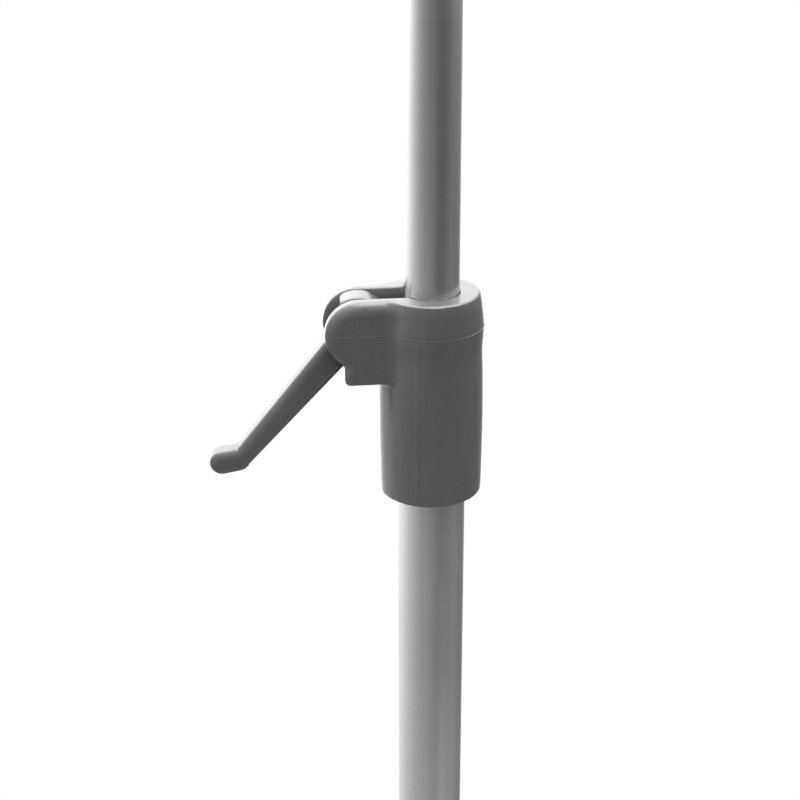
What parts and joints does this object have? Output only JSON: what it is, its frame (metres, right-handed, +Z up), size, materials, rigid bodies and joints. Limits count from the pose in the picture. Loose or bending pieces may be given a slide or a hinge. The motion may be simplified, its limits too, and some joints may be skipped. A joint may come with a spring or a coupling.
{
  "type": "drip stand",
  "caption": "Wheeled hospital drip stand: four-legged tube base on twin-wheel castors, lever clamp on a two-stage telescoping pole, and a head of bag hooks.",
  "frame": {"origin": "on the floor, under the common axis of the two tubes, which is the middle of the base", "axes": "+Z up along the tubes; -X towards the clamp lever; -Y the side that the lever and cheeks are seen from"},
  "size_m": [0.5234, 0.4964, 1.5878],
  "materials": {
    "grey_plastic": "moulded dark grey plastic, fine grain, soft gloss",
    "lever_plastic": "moulded dark grey plastic, soft gloss",
    "black_plastic": "matt black moulded plastic",
    "nylon": "natural white nylon",
    "satin_steel": "satin ground stainless tube",
    "polished_steel": "polished stainless tube and rod",
    "zinc_steel": "zinc plated steel",
    "tread": "grey non-marking rubber",
    "brake_rubber": "black rubber"
  },
  "bodies": {
    "stand": {"base_hub": "grey_plastic", "hub_cover": "grey_plastic", "base_washer": "zinc_steel", "base_bolt": "zinc_steel", "pole_plug": "zinc_steel", "lower_pole": "satin_steel", "guide_bush": "nylon", "clamp_collar": "grey_plastic", "collar_screw": "zinc_steel", "lever_pin": "zinc_steel", "leg_1": "satin_steel", "leg_2": "satin_steel", "leg_3": "satin_steel", "leg_4": "satin_steel", "leg_screw_1": "zinc_steel", "leg_screw_2": "zinc_steel", "leg_screw_3": "zinc_steel", "leg_screw_4": "zinc_steel", "castor_socket_1": "black_plastic", "castor_socket_2": "black_plastic", "castor_socket_3": "black_plastic", "castor_socket_4": "black_plastic", "castor_stem_1": "zinc_steel", "castor_stem_2": "zinc_steel", "castor_stem_3": "zinc_steel", "castor_stem_4": "zinc_steel"},
    "castor_1": {"castor_body_1": "grey_plastic", "castor_axle_1": "zinc_steel"},
    "wheel_left_1": {"castor_wheel_left_1": "tread"},
    "wheel_right_1": {"castor_wheel_right_1": "tread"},
    "pedal_1": {"brake_pedal_1": "black_plastic"},
    "castor_2": {"castor_body_2": "grey_plastic", "castor_axle_2": "zinc_steel"},
    "wheel_left_2": {"castor_wheel_left_2": "tread"},
    "wheel_right_2": {"castor_wheel_right_2": "tread"},
    "castor_3": {"castor_body_3": "grey_plastic", "castor_axle_3": "zinc_steel"},
    "wheel_left_3": {"castor_wheel_left_3": "tread"},
    "wheel_right_3": {"castor_wheel_right_3": "tread"},
    "pedal_3": {"brake_pedal_3": "black_plastic"},
    "castor_4": {"castor_body_4": "grey_plastic", "castor_axle_4": "zinc_steel"},
    "wheel_left_4": {"castor_wheel_left_4": "tread"},
    "wheel_right_4": {"castor_wheel_right_4": "tread"},
    "glide": {"glide_plug": "nylon"},
    "mast": {"upper_pole": "polished_steel", "hook_hub": "grey_plastic", "hook_cap": "grey_plastic", "hub_screw": "zinc_steel", "hook_1": "polished_steel", "hook_2": "polished_steel", "hook_3": "polished_steel", "hook_4": "polished_steel"},
    "lever": {"clamp_lever": "lever_plastic"},
    "shoe": {"brake_shoe": "brake_rubber"}
  },
  "joints": [
    {"name": "castor_swivel_1", "type": "hinge", "parent": "stand", "child": "castor_1", "pos_m": [0.19799, 0.19799, 0.062], "axis": [0, 0, 1], "continuous": true},
    {"name": "wheel_left_spin_1", "type": "hinge", "parent": "castor_1", "child": "wheel_left_1", "pos_m": [0.21396, 0.19218, 0.025], "axis": [-0.342, -0.9397, 0], "continuous": true},
    {"name": "wheel_right_spin_1", "type": "hinge", "parent": "castor_1", "child": "wheel_right_1", "pos_m": [0.21396, 0.19218, 0.025], "axis": [-0.342, -0.9397, 0], "continuous": true},
    {"name": "brake_press_1", "type": "hinge", "parent": "castor_1", "child": "pedal_1", "pos_m": [0.23423, 0.1848, 0.04657], "axis": [0.342, 0.9397, 0], "range_deg": [0, 18]},
    {"name": "castor_swivel_2", "type": "hinge", "parent": "stand", "child": "castor_2", "pos_m": [-0.19799, 0.19799, 0.062], "axis": [0, 0, 1], "continuous": true},
    {"name": "wheel_left_spin_2", "type": "hinge", "parent": "castor_2", "child": "wheel_left_2", "pos_m": [-0.19218, 0.21396, 0.025], "axis": [0.9397, -0.342, 0], "continuous": true},
    {"name": "wheel_right_spin_2", "type": "hinge", "parent": "castor_2", "child": "wheel_right_2", "pos_m": [-0.19218, 0.21396, 0.025], "axis": [0.9397, -0.342, 0], "continuous": true},
    {"name": "castor_swivel_3", "type": "hinge", "parent": "stand", "child": "castor_3", "pos_m": [-0.19799, -0.19799, 0.062], "axis": [0, 0, 1], "continuous": true},
    {"name": "wheel_left_spin_3", "type": "hinge", "parent": "castor_3", "child": "wheel_left_3", "pos_m": [-0.21396, -0.19218, 0.025], "axis": [0.342, 0.9397, 0], "continuous": true},
    {"name": "wheel_right_spin_3", "type": "hinge", "parent": "castor_3", "child": "wheel_right_3", "pos_m": [-0.21396, -0.19218, 0.025], "axis": [0.342, 0.9397, 0], "continuous": true},
    {"name": "brake_press_3", "type": "hinge", "parent": "castor_3", "child": "pedal_3", "pos_m": [-0.23423, -0.1848, 0.04657], "axis": [-0.342, -0.9397, 0], "range_deg": [0, 18]},
    {"name": "castor_swivel_4", "type": "hinge", "parent": "stand", "child": "castor_4", "pos_m": [0.19799, -0.19799, 0.062], "axis": [0, 0, 1], "continuous": true},
    {"name": "wheel_left_spin_4", "type": "hinge", "parent": "castor_4", "child": "wheel_left_4", "pos_m": [0.19218, -0.21396, 0.025], "axis": [-0.9397, 0.342, 0], "continuous": true},
    {"name": "wheel_right_spin_4", "type": "hinge", "parent": "castor_4", "child": "wheel_right_4", "pos_m": [0.19218, -0.21396, 0.025], "axis": [-0.9397, 0.342, 0], "continuous": true},
    {"name": "mast_slide", "type": "slide", "parent": "stand", "child": "glide", "axis": [0, 0, 1], "range_m": [-0.365, 0.42]},
    {"name": "mast_turn", "type": "hinge", "parent": "glide", "child": "mast", "pos_m": [0, 0, 0.56], "axis": [0, 0, 1], "continuous": true},
    {"name": "lever_swing", "type": "hinge", "parent": "stand", "child": "lever", "pos_m": [-0.0256, 0, 1.1434], "axis": [0, 1, 0], "range_deg": [-41, 55]},
    {"name": "shoe_press", "type": "slide", "parent": "stand", "child": "shoe", "axis": [1, 0, 0], "range_m": [-0.0006, 0.00044]}
  ],
  "couplings": [
    {"joint": "shoe_press", "follows": "lever_swing", "m_per_rad": -0.0006}
  ]
}
